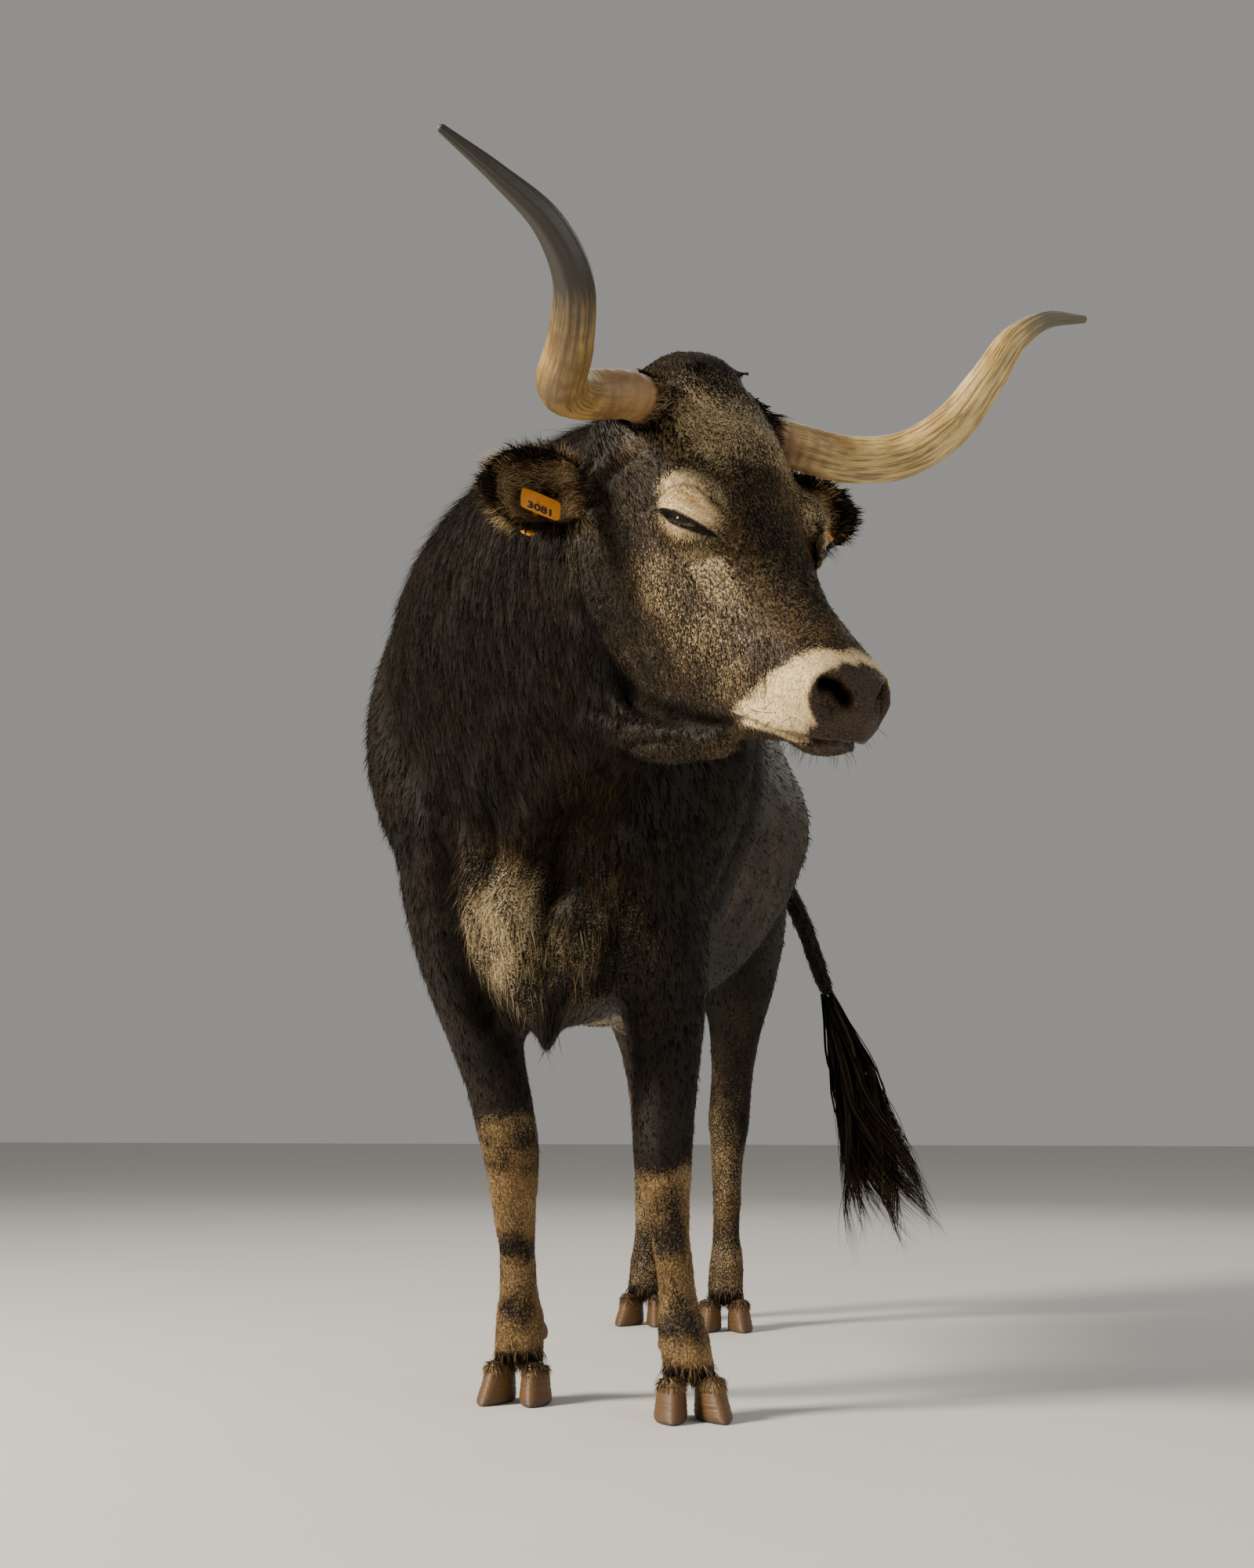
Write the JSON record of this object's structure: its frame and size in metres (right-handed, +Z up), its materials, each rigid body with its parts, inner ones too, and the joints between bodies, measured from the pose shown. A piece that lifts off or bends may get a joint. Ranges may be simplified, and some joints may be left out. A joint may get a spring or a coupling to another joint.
{
  "type": "tudanca cattle",
  "caption": "Life-size standing tudanca cattle, head turned aside, with long lyre horns, ear tags, cloven hooves and a long tail switch.",
  "frame": {"origin": "centre of the bounding box's base, on the floor", "axes": "+Z up; -Y is the way the animal faces, +X its left"},
  "size_m": [1.1694, 2.6872, 1.5312],
  "materials": {
    "coat": "short hair, near black to grizzled grey and tan",
    "hair": "long wavy black hair",
    "horn": "satin horn, cream with dark tips",
    "claw": "dull tan hoof horn",
    "eye": "wet, dark brown",
    "tag": "smooth orange plastic"
  },
  "bodies": {
    "root": {"barrel": "coat", "chest": "coat", "ear_left": "coat", "ear_right": "coat", "ear_tag_left": "tag", "ear_tag_right": "tag", "eye_left": "eye", "eye_right": "eye", "foreleg_left_claw_inner": "claw", "foreleg_left_claw_outer": "claw", "foreleg_left_dewclaw_inner": "claw", "foreleg_left_dewclaw_outer": "claw", "foreleg_left_lower": "coat", "foreleg_left_upper": "coat", "foreleg_right_claw_inner": "claw", "foreleg_right_claw_outer": "claw", "foreleg_right_dewclaw_inner": "claw", "foreleg_right_dewclaw_outer": "claw", "foreleg_right_lower": "coat", "foreleg_right_upper": "coat", "head": "coat", "hind_leg_left_claw_inner": "claw", "hind_leg_left_claw_outer": "claw", "hind_leg_left_dewclaw_inner": "claw", "hind_leg_left_dewclaw_outer": "claw", "hind_leg_left_lower": "coat", "hind_leg_left_upper": "coat", "hind_leg_right_claw_inner": "claw", "hind_leg_right_claw_outer": "claw", "hind_leg_right_dewclaw_inner": "claw", "hind_leg_right_dewclaw_outer": "claw", "hind_leg_right_lower": "coat", "hind_leg_right_upper": "coat", "horn_left": "horn", "horn_right": "horn", "neck": "coat", "rump": "coat", "tail": "coat", "tail_switch": "hair"}
  },
  "joints": []
}
